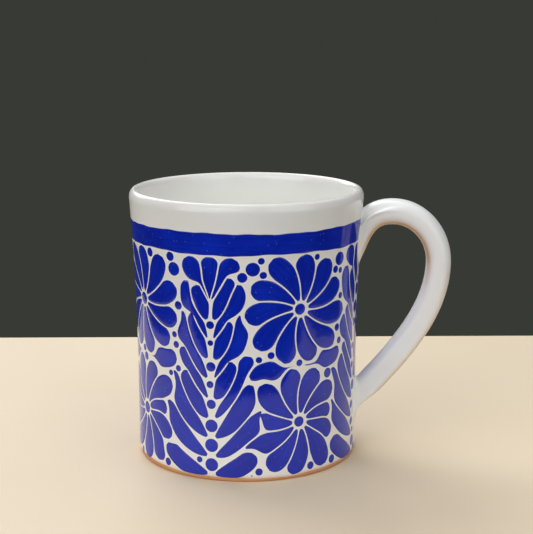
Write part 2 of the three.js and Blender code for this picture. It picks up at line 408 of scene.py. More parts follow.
# The coat's skin starts inside the clay, rolls out over its wiped edge as a bead, and follows the section
# of the cup.
bead_in = GLAZE_THICKNESS * (1 - np.cos(np.linspace(np.pi / 2, 0, BEAD_STEPS)))
bead_up = BEAD_HEIGHT * np.linspace(0, 1, BEAD_STEPS) ** BEAD_POWER
bead_line = np.stack([outer_radius(0.0) - bead_in, GLAZE_EDGE + bead_up], axis=1)
edge_line = np.array([[foot_radius - EDGE_BURY, GLAZE_EDGE - EDGE_DROP]])
coat_line = cup_line(0.0, GLAZE_EDGE + EDGE_REACH, GLAZE_WALL_STEPS)
glaze_line = np.concatenate([edge_line, bead_line, coat_line])
angle = angles_round(GLAZE_COLUMNS)
glaze_grid = around(glaze_line[:, :1], angle, glaze_line[:, 1:])
outside = (np.arange(len(glaze_line)) < len(edge_line) + BEAD_STEPS + GLAZE_WALL_STEPS)[:, None]
height = glaze_grid[..., 2].copy()
edge_pull = np.clip(1 - (height - GLAZE_EDGE) / EDGE_REACH, 0, 1) * outside
glaze_grid[..., 2] += edge_pull * wavering(angle, EDGE_WAVES)
glaze_grid[..., :2] *= 1 + uneven(angle, height)[..., None]
cup_glaze = skin("cup_glaze", glaze_grid, last_pole=(0, 0, FLOOR_THICKNESS))
on_lip = LIP_THIN * bell(height - MUG_HEIGHT, LIP_THIN_SPREAD)
at_edge = EDGE_THIN * bell(height - GLAZE_EDGE, EDGE_THIN_SPREAD) * outside
set_attribute(cup_glaze, "thin_and_reflection", np.append((on_lip + at_edge).ravel(), 0.0))
inside = np.clip((LIP_START - height) / POOL_FADE, 0, 1) * ~outside
set_attribute(cup_glaze, "pooled", np.append(inside.ravel(), 1.0))
cup_coat = tin_glaze("cream_tin_glaze_on_cup", CUP_CREAMS, CUP_THIN_COLOUR, CUP_GLOSS)
cup_glaze.data.materials.append(cup_coat)
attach(cup_glaze, "root")
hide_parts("cup_glaze")


# Handle
# A strap of clay pulled by hand, luted to the wall with slip under the lip and near the foot, and glazed
# with the cup, so that strap, slip and coat show as one skin. The slip is smeared into the wall round both
# roots, and the shoulders of the upper one were pressed between thumb and finger.

# The strap's section over the arch and down the lower arm, and the shares of its length between which it
# goes from one to the other.
HANDLE_THICKNESS = 8.9
HANDLE_WIDTH = 13.5
LOWER_ARM_WIDTH = 10.5
SECTION_POWER = 2.5
LOWER_ARM_POWER = 3.3
LOWER_ARM_PINCH = 0.15
TAPER_START = 0.4
TAPER_END = 0.75

# The strap's middle line: its places off the wall and below the rim, the slopes of its roots, and the arms
# of its curves as shares of their spans.
FINGER_GAP = 24.8
ARCH_DROP = 3.7
ARCH_OFFSET = 12.7
OUTERMOST_DROP = 18.1
UPPER_ROOT_DROP = 18.0
UPPER_ROOT_SLOPE = np.radians(56.5)
LOWER_ROOT_HEIGHT = 19.9
LOWER_ROOT_SLOPE = np.radians(50.5)
UPPER_ROOT_ARM = 0.3
ARCH_ARM = 0.5
QUARTER_ARM = 0.5523
ARCH_STEPS = 200
LOWER_ARM_STEPS = 300

# Marks of the hand on the strap: depths and lengths in millimetres, and angles from the top of its section.
ROOT_FLARE = 1.0
FLARE_LENGTH = 12.0
THUMB_PRESS = 3.4
PRESS_TURN = np.radians(50)
PRESS_SPREAD = np.radians(16)
PRESS_START = 6.5
PRESS_LENGTH = 15.0
THUMB_RIDGE = 0.6
RIDGE_TURN = np.radians(78)
RIDGE_SPREAD = np.radians(6)
HEEL_TUCK = 2.6
TUCK_SPREAD = np.radians(55)
TUCK_LENGTH = 11.0

STRAP_RINGS = 260
ROOT_RINGS = 90
FREE_ROWS = 140
ROUND_STRAP = 120
# The handle has the cup's glaze, but its creams are paler: a painted lightening that stands in for the
# stronger light falling on the handle.
HANDLE_CREAMS_PAINTED_LIGHTER = ("#ebe9e4", "#f4f3f0")
# Tan of a thin coat on the handle, also used for the painted warm reflection of the bench on faces turned
# down.
HANDLE_THIN_AND_REFLECTION_COLOUR = "#cfa676"
HANDLE_GLOSS = (0.3, 0.38)

# The slip's lengths above, beside and below each root, on the wall and along the strap, the powers by which
# they go from one to the next, and how straight the slip slopes between the two.
UPPER_ON_WALL = (0.3, 0.6, 1.2)
UPPER_ON_STRAP = (0.5, 0.8, 1.6)
UPPER_FLAT = 0.0
LOWER_ON_WALL = (0.8, 1.0, 7.0)
LOWER_ON_STRAP = (0.6, 3.6, 2.0)
LOWER_FLAT = 1.0
ON_WALL_POWER = 4
ON_STRAP_POWER = 2
SLIP_ROWS = 12
SLIP_BURY = 0.97

# Where the handle is warm: a thin coat on its arrises inside the bend of the arch and on those turned down,
# with a painted warm reflection of the bench mixed in, and a painted warm reflection alone on every face
# turned down.
ARRIS_TURN = np.radians(38)
ARRIS_SPREAD = np.radians(16)
ARRIS_THIN_AND_REFLECTION = 0.55
BEND_THIN_AND_REFLECTION = 0.72
BEND_BOTTOM = 58.0
BEND_FADE = 14.0
UNDER_PAINTED_REFLECTION = 0.35
WALL_FADE = 3.0

arch_top = np.array([BODY_RADIUS + ARCH_OFFSET, MUG_HEIGHT - ARCH_DROP - HANDLE_THICKNESS / 2])
outermost = np.array([BODY_RADIUS + FINGER_GAP + HANDLE_THICKNESS / 2, arch_top[1] - OUTERMOST_DROP])
upper_z = MUG_HEIGHT - UPPER_ROOT_DROP
upper_root = np.array([outer_radius(upper_z), upper_z])
lower_root = np.array([outer_radius(LOWER_ROOT_HEIGHT), LOWER_ROOT_HEIGHT])
upper_way = np.array([np.cos(UPPER_ROOT_SLOPE), np.sin(UPPER_ROOT_SLOPE)])
lower_way = np.array([np.cos(LOWER_ROOT_SLOPE), np.sin(LOWER_ROOT_SLOPE)])


def bezier(a, b, c, d, steps):
    """Cubic curve through a and d with control points b and c, without its last point."""
    t = np.linspace(0, 1, steps, endpoint=False)[:, None]
    return a * (1 - t) ** 3 + 3 * b * t * (1 - t) ** 2 + 3 * c * t**2 * (1 - t) + d * t**3


def strap_line(rings):
    """Points along the middle of the strap in the plane of the handle, at even distances, with the
    direction and the distance run: cubic curves out of the upper root to the arch, round to the outermost
    point as nearly a quarter of an ellipse, and down into the lower root."""
    start = upper_root - HANDLE_THICKNESS * upper_way
    end = lower_root - HANDLE_THICKNESS * lower_way
    rise = np.linalg.norm(start - arch_top)
    fall = np.linalg.norm(outermost - end)
    across, down = outermost - arch_top
    from_root = start + upper_way * rise * UPPER_ROOT_ARM
    to_arch = arch_top - [rise * ARCH_ARM, 0]
    from_arch = arch_top + [across * QUARTER_ARM, 0]
    to_outermost = outermost - [0, down * QUARTER_ARM]
    from_outermost = outermost - [0, fall / 3]
    to_root = end + lower_way * fall / 3
    fine = np.concatenate(
        [
            bezier(start, from_root, to_arch, arch_top, ARCH_STEPS),
            bezier(arch_top, from_arch, to_outermost, outermost, ARCH_STEPS),
            bezier(outermost, from_outermost, to_root, end, LOWER_ARM_STEPS),
            end[None],
        ]
    )
    run = np.concatenate([[0], np.cumsum(np.linalg.norm(np.diff(fine, axis=0), axis=1))])
    even = np.linspace(0, run[-1], rings)
    line = np.stack([np.interp(even, run, fine[:, i]) for i in (0, 1)], axis=1)
    way = np.gradient(line, even, axis=0)
    return line, way / np.linalg.norm(way, axis=1, keepdims=True), even


def eased(share):
    """S-curve from 0 to 1 of a share, which is held between 0 and 1."""
    share = np.clip(share, 0, 1)
    return share**2 * (3 - 2 * share)


def strap(rings):
    """Grid of the strap's skin: a rounded oblong, a power curve of its angle, carried along the strap line.
    Down the lower arm it grows slimmer, squarer and narrower on its inner side, by an S-curve of the
    distance run, and both roots are a little wider. At the upper root thumb and finger pressed the
    shoulders hollow and raised a low ridge below them, bell curves of the angle from the top, and both
    fade along the strap as an S-curve. At the lower root the underside is tucked in by another bell
    curve."""
    line, way, run = strap_line(rings)
    to_wall = np.minimum(run, run[-1] - run) - HANDLE_THICKNESS
    flare = ROOT_FLARE * np.clip(1 - to_wall / FLARE_LENGTH, 0, 1) ** 2
    taper = eased((run / run[-1] - TAPER_START) / (TAPER_END - TAPER_START))[:, None]
    width = HANDLE_WIDTH + (LOWER_ARM_WIDTH - HANDLE_WIDTH) * taper + flare[:, None]
    power = SECTION_POWER + (LOWER_ARM_POWER - SECTION_POWER) * taper
    a = angles_round(ROUND_STRAP)
    across = np.sign(np.cos(a)) * np.abs(np.cos(a)) ** (2 / power)
    through = np.sign(np.sin(a)) * np.abs(np.sin(a)) ** (2 / power)
    from_top = np.abs(a - np.pi / 2)
    fade = eased(1 - (run - HANDLE_THICKNESS - PRESS_START) / PRESS_LENGTH)[:, None]
    ridge = THUMB_RIDGE * bell(from_top - RIDGE_TURN, RIDGE_SPREAD) * fade
    press = THUMB_PRESS * bell(from_top - PRESS_TURN, PRESS_SPREAD) * fade
    to_heel = np.clip(1 - (run[-1] - run - HANDLE_THICKNESS) / TUCK_LENGTH, 0, 1)[:, None]
    tuck = HEEL_TUCK * bell(from_top, TUCK_SPREAD) * to_heel**2
    half_thickness = HANDLE_THICKNESS / 2 + ridge - press - tuck
    x = line[:, :1] - way[:, 1:] * through * half_thickness
    z = line[:, 1:] + way[:, :1] * through * half_thickness
    y = across * (width / 2 * (1 + LOWER_ARM_PINCH * taper * through) + ridge)
    return np.stack([x, y, z], axis=-1)


def outside_wall(points):
    """Distance of points outside the glazed wall."""
    return np.hypot(points[..., 0], points[..., 1]) - outer_radius(points[..., 2])


def at_rings(lines, place):
    """Points of lines at ring numbers that may lie between two rings, one number for each line."""
    ring = np.floor(place).astype(int)
    column = np.arange(lines.shape[1])
    share = (place - ring)[..., None]
    return lines[ring, column] * (1 - share) + lines[ring + 1, column] * share


def by_side(upness, power, above, beside, below):
    """Length that goes from a value beside the root to one above and one below it, by a power of upness."""
    return beside + (np.where(upness > 0, above, below) - beside) * np.abs(upness) ** power


def smeared_root(lines, on_wall, on_strap, flat):
    """Rows of skin from the wall out to the strap. Each line of the strap is followed to where it leaves
    the wall. The slip is a curve from a point further out on the wall, bent towards where the line leaves
    it, to a point further along the line. on_wall and on_strap are the lengths above, beside and below
    the root, and flat takes the curve from a hollow at 0 to a straight slope at 1. Also returns the ring
    number at which each line comes free."""
    columns = np.arange(lines.shape[1])
    gap = outside_wall(lines)
    out = np.argmax(gap > 0, axis=0)
    before, after = gap[out - 1, columns], gap[out, columns]
    leave_at = out - 1 - before / (after - before)
    leave = at_rings(lines, leave_at)
    girth, z = np.arctan2(leave[:, 1], leave[:, 0]) * BODY_RADIUS, leave[:, 2]
    away = np.stack([(girth - girth.mean()) * np.ptp(z) / np.ptp(girth), z - z.mean()], axis=1)
    away /= np.linalg.norm(away, axis=1, keepdims=True)
    step = np.linalg.norm(np.diff(lines, axis=0), axis=2).mean()
    free_at = leave_at + by_side(away[:, 1], ON_STRAP_POWER, *on_strap) / step
    free = at_rings(lines, free_at)
    smear = by_side(away[:, 1], ON_WALL_POWER, *on_wall)
    foot_z = z + away[:, 1] * smear
    foot = around(outer_radius(foot_z), (girth + away[:, 0] * smear) / BODY_RADIUS, foot_z)
    t = np.linspace(0, 1, SLIP_ROWS)[:, None, None]
    pull = leave * (1 - flat) + (foot + free) / 2 * flat
    bend = foot * (1 - t) ** 2 + 2 * pull * t * (1 - t) + free * t**2
    buried = foot * [SLIP_BURY, SLIP_BURY, 1]
    return np.concatenate([buried[None], bend]), free_at


def facing(grid):
    """Outward direction at every point of a grid whose columns run round: across both its directions."""
    round_way = np.roll(grid, -1, axis=1) - np.roll(grid, 1, axis=1)
    way = np.cross(round_way, np.gradient(grid, axis=0))
    return way / np.maximum(np.linalg.norm(way, axis=2, keepdims=True), 1e-9)


strap_grid = strap(STRAP_RINGS)
upper_end = strap_grid[:ROOT_RINGS]
lower_end = strap_grid[::-1][:ROOT_RINGS]
upper_rows, upper_free = smeared_root(upper_end, UPPER_ON_WALL, UPPER_ON_STRAP, UPPER_FLAT)
lower_rows, lower_free = smeared_root(lower_end, LOWER_ON_WALL, LOWER_ON_STRAP, LOWER_FLAT)
share = np.linspace(0, 1, FREE_ROWS)[1:-1, None]
free_rows = at_rings(strap_grid, upper_free * (1 - share) + (STRAP_RINGS - 1 - lower_free) * share)
handle_grid = np.concatenate([upper_rows, free_rows, lower_rows[::-1]])
handle = skin(
    "handle",
    handle_grid,
    first_pole=upper_rows[0].mean(axis=0),
    last_pole=lower_rows[0].mean(axis=0),
)
section_turn = angles_round(ROUND_STRAP)
from_arris = np.abs(np.abs(section_turn - np.pi) - np.pi / 2) - ARRIS_TURN
arris = bell(from_arris, ARRIS_SPREAD)
# How far each face turns down, which sets the painted warm reflection of the bench.
under = np.clip(-facing(handle_grid)[..., 2], 0, 1)
arch = np.clip((handle_grid[..., 2] - BEND_BOTTOM) / BEND_FADE, 0, 1)
inside_bend = np.where(np.sin(section_turn) < 0, BEND_THIN_AND_REFLECTION, 0.0) * arch
off_wall = np.clip(outside_wall(handle_grid) / WALL_FADE, 0, 1)
# Thin coat on the arrises mixed with painted warm reflection, and painted warm reflection alone on faces
# turned down.
thin_and_reflection = arris * (inside_bend + ARRIS_THIN_AND_REFLECTION * np.sqrt(under)) + UNDER_PAINTED_REFLECTION * under
thin_and_reflection = np.clip(thin_and_reflection, 0, 1) * off_wall
set_attribute(handle, "thin_and_reflection", np.append(thin_and_reflection.ravel(), [0.0, 0.0]))
handle_coat = tin_glaze("cream_tin_glaze_on_handle", HANDLE_CREAMS_PAINTED_LIGHTER, HANDLE_THIN_AND_REFLECTION_COLOUR, HANDLE_GLOSS)
handle.data.materials.append(handle_coat)
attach(handle, "root")
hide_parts("handle", "handle_glaze", "upper_slip_joint", "lower_slip_joint")


# Cobalt band
# One ring of cobalt laid on the unfired glaze with a flat brush while the cup turned. It sank in as it
# fired, so it stands out by a hair only, and its edges waver. It stops at the smeared root of the handle.

BAND_BOTTOM = 79.8
BAND_TOP = 87.2
BAND_BOTTOM_WAVES = ((0.2, 5, 1.0), (0.12, 13, 0.0), (0.08, 29, 2.0))
BAND_TOP_WAVES = ((0.15, 4, 3.0), (0.1, 17, 1.0), (0.06, 37, 0.0))
BAND_SHOULDER = 0.08
BAND_SIDE_STEP = 0.03
BAND_TOP_STEPS = 13
BAND_COLUMNS = 720
PAINT_RISE = 0.04
PAINT_DEPTH = 0.3
ROOT_CLEAR = ((77.8, 8.7, 10.8), (16.2, 8.2, 12.6))
OVAL_POWER = 2.5
DIP_SLOPE = 0.25
DIP_DEPTH = 0.6
STREAKS_PER_MM = (0.1, 1.3, 0.0)
COBALT_WASH = 11.0
COBALT_POOL = 0.8
COBALT_FRINGE = 0.25
PINHOLES_APART = 2.0
COBALT_PEEL = 4.0
COBALT_COLOURS = ("#0a2ab5", "#041c9b")
POOLED_COBALT = "#05178a"
BLED_COBALT = "#4658c4"
PINHOLE_COLOUR = "#8f9bd0"


def root_gap(girth, z):
    """Distance outside the unpainted ovals round the two roots, at a distance round the wall from the
    handle. Each oval is a power curve with a middle height, a half-width and a half-height."""
    gaps = []
    for at, wide, high in ROOT_CLEAR:
        oval = np.abs(girth / wide) ** OVAL_POWER + np.abs((z - at) / high) ** OVAL_POWER
        gaps.append((oval ** (1 / OVAL_POWER) - 1) * min(wide, high))
    return np.minimum(*gaps)


def paint_radius(angle, z, rise):
    """Radius of painted points: the glazed wall with its unevenness plus a rise. Within the ovals round the
    roots the paint dips under the glaze."""
    girth = ((angle + np.pi) % TURN - np.pi) * BODY_RADIUS
    dip = np.clip(root_gap(girth, z) * DIP_SLOPE, -DIP_DEPTH, 0)
    return outer_radius(z) * (1 + uneven(angle, z)) + rise + dip


def hidden_sides(count):
    """Marks the two sides and the underside of a coat of paint: the first and the last two of the faces
    counted across it."""
    return np.isin(np.arange(count), [0, count - 2, count - 1])


def flat_sides(piece, hidden):
    """Shades the marked faces flat, so that the hidden sides don't round the look of the top."""
    piece.data.polygons.foreach_set("use_smooth", ~hidden)


# Cobalt in tin glaze: deep blue and glossy, streaked along the brush, darker where the colour pooled along
# the edge of a stroke, with pale pinholes. The pinholes are drawn at twice their size so that they show.
cobalt, tree, shader = material("cobalt_brushed_on_tin_glaze")
place = add(tree, "ShaderNodeTexCoord").outputs["Object"]
stroke = add(tree, "ShaderNodeAttribute", attribute_name="stroke").outputs["Vector"]
from_edge = add(tree, "ShaderNodeSeparateXYZ", {0: stroke}).outputs["Z"]
lengthwise = add(tree, "ShaderNodeVectorMath", {0: stroke, 1: STREAKS_PER_MM}, operation="MULTIPLY")
streak = add(tree, "ShaderNodeTexNoise", {"Vector": lengthwise.outputs[0], "Scale": 1.0, "Detail": 3.0})
wash = add(tree, "ShaderNodeTexNoise", {"Vector": place, "Scale": per_mm(COBALT_WASH), "Detail": 2.0})
load = add(tree, "ShaderNodeMath", {0: streak.outputs[0], 1: wash.outputs[0]}, operation="ADD")
strength = add(
    tree,
    "ShaderNodeMapRange",
    {"Value": load.outputs[0], "From Min": 0.75, "From Max": 1.25, "To Min": 0.0, "To Max": 1.0},
)
blue = add(
    tree,
    "ShaderNodeMix",
    {FACTOR: strength.outputs[0], FIRST: linear(COBALT_COLOURS[0]), SECOND: linear(COBALT_COLOURS[1])},
    data_type="RGBA",
)
pool = add(
    tree,
    "ShaderNodeMapRange",
    {"Value": from_edge, "From Min": 0.0, "From Max": COBALT_POOL, "To Min": 0.55, "To Max": 0.0},
)
edged = add(
    tree,
    "ShaderNodeMix",
    {FACTOR: pool.outputs[0], FIRST: blue.outputs[MIXED], SECOND: linear(POOLED_COBALT)},
    data_type="RGBA",
)
fringe = add(
    tree,
    "ShaderNodeMapRange",
    {"Value": from_edge, "From Min": 0.0, "From Max": COBALT_FRINGE, "To Min": 0.45, "To Max": 0.0},
)
bled = add(
    tree,
    "ShaderNodeMix",
    {FACTOR: fringe.outputs[0], FIRST: edged.outputs[MIXED], SECOND: linear(BLED_COBALT)},
    data_type="RGBA",
)
holes = add(tree, "ShaderNodeTexVoronoi", {"Vector": place, "Scale": per_mm(PINHOLES_APART)})
hole = add(
    tree,
    "ShaderNodeMapRange",
    {"Value": holes.outputs["Distance"], "From Min": 0.05, "From Max": 0.12, "To Min": 0.35, "To Max": 0.0},
)
pricked = add(
    tree,
    "ShaderNodeMix",
    {FACTOR: hole.outputs[0], FIRST: bled.outputs[MIXED], SECOND: linear(PINHOLE_COLOUR)},
    data_type="RGBA",
)
peel = add(tree, "ShaderNodeTexNoise", {"Vector": place, "Scale": per_mm(COBALT_PEEL), "Detail": 2.0})
bump = add(
    tree,
    "ShaderNodeBump",
    {"Strength": 0.12, "Distance": PEEL_RELIEF * MILLIMETRE, "Height": peel.outputs[0]},
)
tree.links.new(pricked.outputs[MIXED], shader.inputs["Base Color"])
tree.links.new(bump.outputs[0], shader.inputs["Normal"])
shader.inputs["Roughness"].default_value = 0.1
shader.inputs["IOR"].default_value = 1.56

# Across the band: up its lower side, over its nearly flat top and down its upper side, closed under the
# glaze.
top_shares = np.linspace(BAND_SHOULDER, 1 - BAND_SHOULDER, BAND_TOP_STEPS)
across = np.concatenate([[0, 0, BAND_SIDE_STEP], top_shares, [1 - BAND_SIDE_STEP, 1, 1]])
to_side = np.minimum(across, 1 - across)
rise = PAINT_RISE * np.clip(to_side / BAND_SHOULDER, 0, 1)
rise[[0, -1]] = -PAINT_DEPTH
angle = angles_round(BAND_COLUMNS)
low = BAND_BOTTOM + wavering(angle, BAND_BOTTOM_WAVES)
high = BAND_TOP + wavering(angle, BAND_TOP_WAVES)
band_z = low + (high - low) * across[:, None]
band_grid = around(paint_radius(angle, band_z, rise[:, None]), angle, band_z)
cobalt_band = skin("cobalt_band", band_grid, closed=True)
flat_sides(cobalt_band, np.repeat(hidden_sides(len(across)), BAND_COLUMNS))
band_run = angle * BODY_RADIUS + 0 * band_z
band_stroke = np.stack([band_run, band_z, to_side[:, None] * (high - low)], axis=-1)
set_attribute(cobalt_band, "stroke", band_stroke.reshape(-1, 3))
cobalt_band.data.materials.append(cobalt)
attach(cobalt_band, "root")
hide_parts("cobalt_band")


# Cobalt leaves and dots
# Foliage painted on the wall below the band, one stroke of a loaded brush to a leaf and a touch of its tip
# to a dot. Leafy stems rise from the foot; between them stand two flowers, one above the other, with a
# pair of leaves between the two and dots in the gaps.

FOLIAGE_RADIUS = 40.5
GIRTH = TURN * FOLIAGE_RADIUS
REPEATS = 4
PITCH = GIRTH / REPEATS
FIRST_STEM = np.radians(-103)
STEM_HALF_WIDTH = 0.9
PAINT_BOTTOM = 1.7
CREAM_LINE = 0.4

# A stroke is a row of six numbers. It swells over a share of its length by a power, and ends in half an oval
# whose length is given in half-widths.
ALONG, HEIGHT, HEADING, LENGTH, CURL, FAT = range(6)
LEAF_STEPS = 32
SWELL_SHARE = 0.6
SWELL_POWER = 0.75
TIP_LENGTH = 1.25
HAIR = 0.001

# The unsteady hand: how far headings and curls stray in radians, and lengths as a share.
HAND_SEED = 5
HEADING_STRAY = 0.03
LENGTH_STRAY = 0.03
CURL_STRAY = 0.06

# Growing strokes: the first width and the lengths are shares of what was drawn, and the margins say how much
# nearer the strokes come to the band, the foot and the bare ovals round the roots than to one another.
GROWING_ROUNDS = 18
LARGEST_STEP = 0.8
FIRST_WIDTH = 0.3
LEAST_WIDTH = 0.02
SHORTEST = 0.7
LONGEST = 1.15
BAND_MARGIN = 0.3
FOOT_MARGIN = 0.4
ROOT_MARGIN = 0.3
ROOT_OVERLAP = 1.0
NEIGHBOUR_REACH = 32.0
WIDTH_SMOOTHING = 2
OUTLINE_SMOOTHING = 3

# Dots: their radii, the cream left round them, and the fine net on which they find their places.
DOT_LARGEST = 2.4
DOT_SMALLEST = 1.0
DOT_LINE = 0.8 * CREAM_LINE
DOT_MARGIN = 0.4 * CREAM_LINE
DOT_NET = 0.7
DOT_REACH = 28.0

# The paint of a stroke: the half-width at which its crown is full, how far its tips sink as a share of the
# radius, and how far the streaks of each stroke are shifted from those of the one before.
CROWN_WIDTH = 0.6
LEAST_CROWN = 0.05
TIP_SINK = 0.995
STREAK_SHIFT = 90.0


def leaf_rows(start, z, heading, length, curl, fat):
    """Strokes as rows of start along the girth, start height, heading, length, curl and half-width."""
    columns = np.broadcast_arrays(start, z, np.radians(heading), length, curl, fat)
    return np.stack(columns, axis=1).astype(float)


def leaf_fan(z, lean, length, curl, start, fat):
    """Leaves that start on a small circle about one point and lean away from upright."""
    lean, length = np.array(lean, float), np.array(length) - start
    way = np.radians(90 - lean)
    first, first_z = start * np.cos(way), z + start * np.sin(way)
    return leaf_rows(first, first_z, 90 - lean, length, -curl * lean / 90, fat)


def leaf_whorl(z, count, length, start, turn, curl, fat):
    """Leaves at even angles round one point, all curling one way."""
    heading = turn + np.arange(count) * 360 / count
    way = np.radians(heading)
    first, first_z = start * np.cos(way), z + start * np.sin(way)
    return leaf_rows(first, first_z, heading, length - start, curl, fat)


def leaf_pairs(z, lean, length, curl, fat):
    """Leaves in pairs along an upright stem, leaning away from it and curling back up."""
    lean = np.array(lean, float)
    right = leaf_rows(STEM_HALF_WIDTH, z, 90 - lean, length, curl, fat)
    left = leaf_rows(-STEM_HALF_WIDTH, z, 90 + lean, length, -curl, fat)
    return np.concatenate([right, left])


def moved(leaves, distance):
    """The same strokes a distance further along the girth."""
    return leaves + distance * (np.arange(leaves.shape[1]) == ALONG)


def leaf_spines(leaves, t):
    """Middle line of each stroke, and the direction across it: its heading turns evenly by the curl, and
    the position is the running sum."""
    heading = leaves[:, HEADING, None] + leaves[:, CURL, None] * t
    step = leaves[:, LENGTH, None] / (len(t) - 1)
    ways = np.stack([np.cos(heading), np.sin(heading)])
    run = np.cumsum((ways[..., 1:] + ways[..., :-1]) / 2 * step, axis=2)
    run = np.pad(run, ((0, 0), (0, 0), (1, 0)))
    spine = np.stack([leaves[:, ALONG, None] + run[0], leaves[:, HEIGHT, None] + run[1]], axis=-1)
    return spine, np.stack([-np.sin(heading), np.cos(heading)], axis=-1)


def leaf_sides(leaves, width, t):
    """The two outlines of each stroke: its middle line plus and minus its half-widths across it."""
    spine, normal = leaf_spines(leaves, t)
    return np.stack([spine + normal * width[0, ..., None], spine - normal * width[1, ..., None]])


def leaf_limit(leaves, t):
    """Widest half-width of each stroke: it swells from a point and ends in half an oval."""
    fat = leaves[:, FAT, None]
    swell = np.clip(t / SWELL_SHARE, 0, 1)
    to_tip = np.clip((1 - t) * leaves[:, LENGTH, None] / (TIP_LENGTH * fat), 0, 1)
    return fat * (swell * (2 - swell)) ** SWELL_POWER * np.sqrt(1 - (1 - to_tip) ** 2) + HAIR


def round_wrap(distance):
    """Distance along the girth, taken the short way round."""
    return (distance + GIRTH / 2) % GIRTH - GIRTH / 2


def from_handle(along):
    """Distance round the wall from the handle of a place along the girth."""
    return round_wrap(along + FIRST_STEM / TURN * GIRTH)


def one_swell(width):
    """Half-widths that rise to their peak and then fall: what stands in the way is lowered, and the row is
    smoothed."""
    index = np.arange(width.shape[1])
    peak = width.argmax(axis=1)[:, None]
    rising = np.minimum.accumulate(np.where(index <= peak, width, np.inf)[:, ::-1], axis=1)[:, ::-1]
    falling = np.minimum.accumulate(np.where(index >= peak, width, np.inf), axis=1)
    width = np.where(index <= peak, rising, falling)
    for _ in range(WIDTH_SMOOTHING):
        width[:, 1:-1] = (width[:, :-2] + 2 * width[:, 1:-1] + width[:, 2:]) / 4
    return width


def grown_leaves(leaves, t):
    """Strokes that start narrow and grow on both sides and at the tip, half the spare room at a time, until
    a cream line is left to their neighbours, the band and the foot. Returns the two outlines of each
    stroke."""
    drawn = leaves[:, LENGTH].copy()
    leaves = leaves.copy()
    width = np.stack([FIRST_WIDTH * leaf_limit(leaves, t)] * 2)
    for _ in range(GROWING_ROUNDS):
        sides = leaf_sides(leaves, width, t)
        middle, radius = sides.mean(axis=0), width.mean(axis=0)
        along, z = sides[..., 0], sides[..., 1]
        room = np.minimum(BAND_BOTTOM + BAND_MARGIN - z, z - PAINT_BOTTOM + FOOT_MARGIN)
        room = np.minimum(room, root_gap(from_handle(along), z) + ROOT_MARGIN)
        centre = middle[:, len(t) // 2, 0]
        for i in range(len(leaves)):
            near = np.abs(round_wrap(centre - centre[i])) < NEIGHBOUR_REACH
            near[i] = False
            aside = round_wrap(middle[near, :, 0].ravel() - along[:, i, :, None])
            above = middle[near, :, 1].ravel() - z[:, i, :, None]
            to_neighbours = (np.hypot(aside, above) - radius[near].ravel()).min(axis=-1)
            room[:, i] = np.minimum(room[:, i], to_neighbours)
        spare = np.clip((room - CREAM_LINE) / 2, -LARGEST_STEP, LARGEST_STEP)
        length = leaves[:, LENGTH] + spare[0, :, -1]
        leaves[:, LENGTH] = np.clip(length, SHORTEST * drawn, LONGEST * drawn)
        limit = leaf_limit(leaves, t)
        width = np.stack([one_swell(np.clip(width[i] + spare[i], LEAST_WIDTH, limit)) for i in (0, 1)])
    return leaf_sides(leaves, width, t)


def brushed(left, right):
    """Outlines smoothed as one closed loop up the left side and down the right, as a soft brush rounds its
    tip."""
    loop = np.concatenate([left, right[:, ::-1]], axis=1)
    for _ in range(OUTLINE_SMOOTHING):
        loop = (np.roll(loop, 1, axis=1) + 2 * loop + np.roll(loop, -1, axis=1)) / 4
    return loop[:, : left.shape[1]], loop[:, left.shape[1] :][:, ::-1]


def dots_between(left, right):
    """Places and radii of dots: again and again the roomiest point of a fine net on the wall takes one."""
    columns, rows = np.arange(0, GIRTH, DOT_NET), np.arange(PAINT_BOTTOM, BAND_BOTTOM, DOT_NET)
    along, z = np.meshgrid(columns, rows, indexing="ij")
    clear = np.minimum(BAND_BOTTOM - z, z - PAINT_BOTTOM) + DOT_MARGIN
    clear = np.minimum(clear, root_gap(from_handle(along), z))
    middle, radius = (left + right) / 2, np.linalg.norm(left - right, axis=2) / 2
    for i in range(len(left)):
        near = np.abs(round_wrap(columns - middle[i, :, 0].mean())) < DOT_REACH
        aside = round_wrap(along[near][..., None] - middle[i, :, 0])
        above = z[near][..., None] - middle[i, :, 1]
        clear[near] = np.minimum(clear[near], (np.hypot(aside, above) - radius[i]).min(axis=2))
    dots = []
    while clear.max() - DOT_LINE > DOT_SMALLEST:
        best = np.unravel_index(clear.argmax(), clear.shape)
        size = min(clear[best] - DOT_LINE, DOT_LARGEST)
        dots.append((along[best], z[best], size))
        clear = np.minimum(clear, np.hypot(round_wrap(along - along[best]), z - z[best]) - size)
    return np.array(dots)


# One repeat is a stem at its start, and two flowers with a pair of leaves between them half-way along.
stem_pairs = leaf_pairs(
    z=[2.6, 8.8, 15.4, 22.4, 29.4, 36.4, 43.4, 50.4, 57.2],
    lean=[84, 66, 55, 50, 47, 45, 43, 41, 39],
    length=[21, 24, 25, 24, 23, 23, 22, 21, 19],
    curl=0.8,
    fat=3.5,
)
stem_top = leaf_fan(z=63.5, lean=[-28, 0, 28], length=[16, 15, 16], curl=0.2, start=0.8, fat=3.6)
upper_flower = leaf_whorl(z=60.5, count=11, length=18.5, start=2.4, turn=8, curl=0.7, fat=3.9)
leaf_pair = leaf_rows(start=[1.2, -1.2], z=40.6, heading=[0, 180], length=15.5, curl=0.4, fat=3.6)
lower_flower = leaf_whorl(z=20.7, count=11, length=18.5, start=2.4, turn=20, curl=-0.7, fat=3.9)
half_way = moved(np.concatenate([upper_flower, leaf_pair, lower_flower]), PITCH / 2)
repeat = np.concatenate([stem_pairs, stem_top, half_way])
leaves = np.concatenate([moved(repeat, i * PITCH) for i in range(REPEATS)])
hand = np.random.default_rng(HAND_SEED)
leaves[:, HEADING] += hand.normal(0, HEADING_STRAY, len(leaves))
